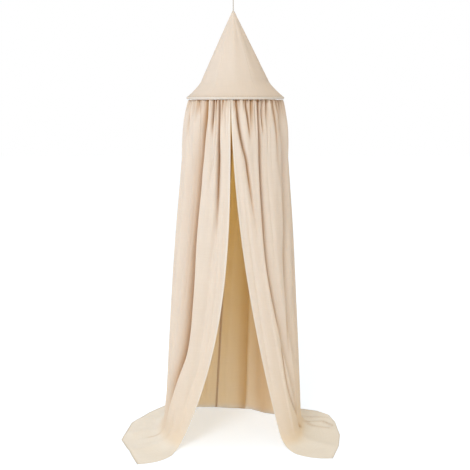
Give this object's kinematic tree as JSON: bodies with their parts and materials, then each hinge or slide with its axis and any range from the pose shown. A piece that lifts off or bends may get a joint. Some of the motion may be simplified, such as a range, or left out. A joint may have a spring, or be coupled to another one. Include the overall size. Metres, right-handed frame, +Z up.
{
  "type": "mosquito net canopy with hoop",
  "caption": "Hanging cloth canopy: a cone roof on a hoop with a gathered full-length skirt, open at the front, its ends trailing on the floor.",
  "frame": {"origin": "top of the cord's loop, where the canopy hangs", "axes": "+Z up, the canopy's longest way; -Y is the open front; +X is to the right seen from the front"},
  "size_m": [1.1785, 0.7513, 2.36],
  "materials": {
    "roof_cloth": "plain woven cotton, warm cream",
    "skirt_cloth": "plain woven cotton muslin, warm cream, slightly see-through",
    "hoop_wire": "plain pale ring",
    "cord_cotton": "twisted cotton cord, grey beige"
  },
  "bodies": {
    "root": {"roof": "roof_cloth", "hoop": "hoop_wire", "skirt_left": "skirt_cloth", "skirt_right": "skirt_cloth", "stop_knot": "cord_cotton", "cord": "cord_cotton", "cord_loop": "cord_cotton"}
  },
  "joints": []
}
